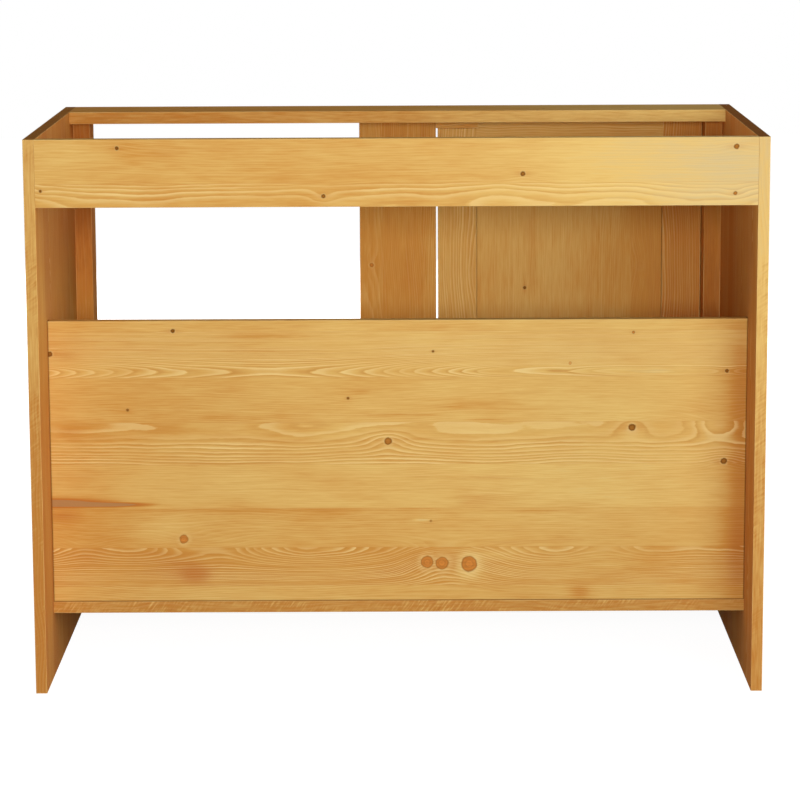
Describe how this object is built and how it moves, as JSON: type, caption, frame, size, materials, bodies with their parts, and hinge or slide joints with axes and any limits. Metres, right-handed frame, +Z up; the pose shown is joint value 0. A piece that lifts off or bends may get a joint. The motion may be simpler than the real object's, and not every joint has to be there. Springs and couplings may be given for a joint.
{
  "type": "corner base cabinet",
  "caption": "Blind-corner base cabinet in solid pine with an open top, a hinged framed door, an open blind half, a recessed back panel and a shelf.",
  "frame": {"origin": "centre of the object's box on the floor, knob included", "axes": "+X along the front, to the right seen from the front; +Y from the front to the back; +Z up"},
  "size_m": [1.1, 0.628, 0.84],
  "materials": {
    "pine": "honey stain under satin varnish",
    "turned_pine": "turned, honey stain under satin varnish",
    "hinge_brass": "satin",
    "zinc_steel": "bright zinc"
  },
  "bodies": {
    "carcass": {"side_panel_left": "pine", "side_panel_right": "pine", "base_panel": "pine", "back_panel": "pine", "back_rail": "pine", "front_rail": "pine", "centre_stile": "pine", "hinge_post": "pine", "blind_post": "pine", "plinth_board": "pine", "plinth_blocks": "pine", "shelf": "pine", "shelf_battens": "pine", "door_stop": "pine", "catch_magnet": "zinc_steel", "lower_hinge_post_leaf": "hinge_brass", "upper_hinge_post_leaf": "hinge_brass", "lower_hinge_pin": "hinge_brass", "upper_hinge_pin": "hinge_brass", "post_leaf_screws": "hinge_brass"},
    "door": {"door_hinge_stile": "pine", "door_lock_stile": "pine", "door_bottom_rail": "pine", "door_top_rail": "pine", "door_panel": "pine", "lower_hinge_door_leaf": "hinge_brass", "upper_hinge_door_leaf": "hinge_brass", "door_leaf_screws": "hinge_brass", "strike_plate": "zinc_steel", "knob": "turned_pine", "knob_screw": "zinc_steel"}
  },
  "joints": [
    {"name": "door_hinge", "type": "hinge", "parent": "carcass", "child": "door", "pos_m": [-0.5042, -0.2891, 0.468], "axis": [0, 0, -1], "range_deg": [0, 170]}
  ]
}
